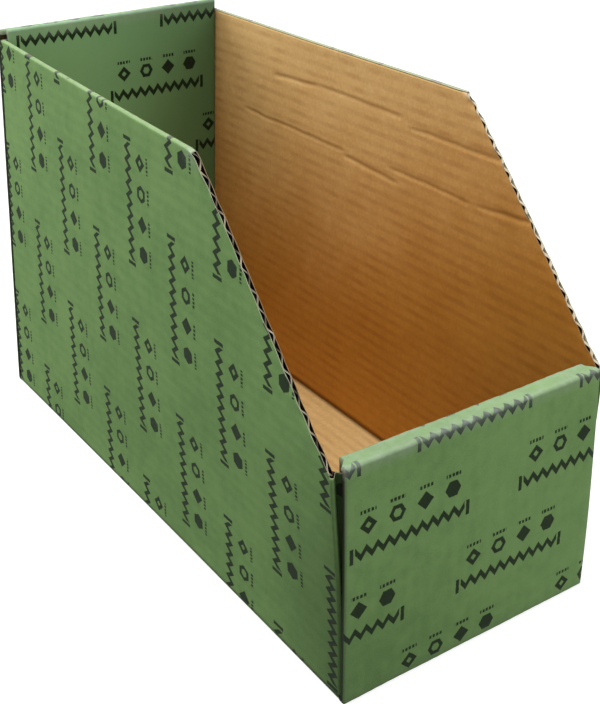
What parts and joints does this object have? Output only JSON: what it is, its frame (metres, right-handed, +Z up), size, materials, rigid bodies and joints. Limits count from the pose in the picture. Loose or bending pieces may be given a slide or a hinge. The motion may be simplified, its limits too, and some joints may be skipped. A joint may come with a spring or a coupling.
{
  "type": "open-fronted cardboard storage bin",
  "caption": "Open-topped storage tray folded from one sheet of corrugated board, with a low rolled front, slanted side edges and a tall rolled back.",
  "frame": {"origin": "middle of the underside, on the surface that the box stands on", "axes": "+X across the width to the right wall, +Y from the low front wall to the tall back wall, +Z up"},
  "size_m": [0.19, 0.45, 0.294],
  "materials": {
    "printed_corrugated_board": "green printed liner outside, plain brown kraft liner inside, both matt"
  },
  "bodies": {
    "root": {"folded_board": "printed_corrugated_board"}
  },
  "joints": []
}
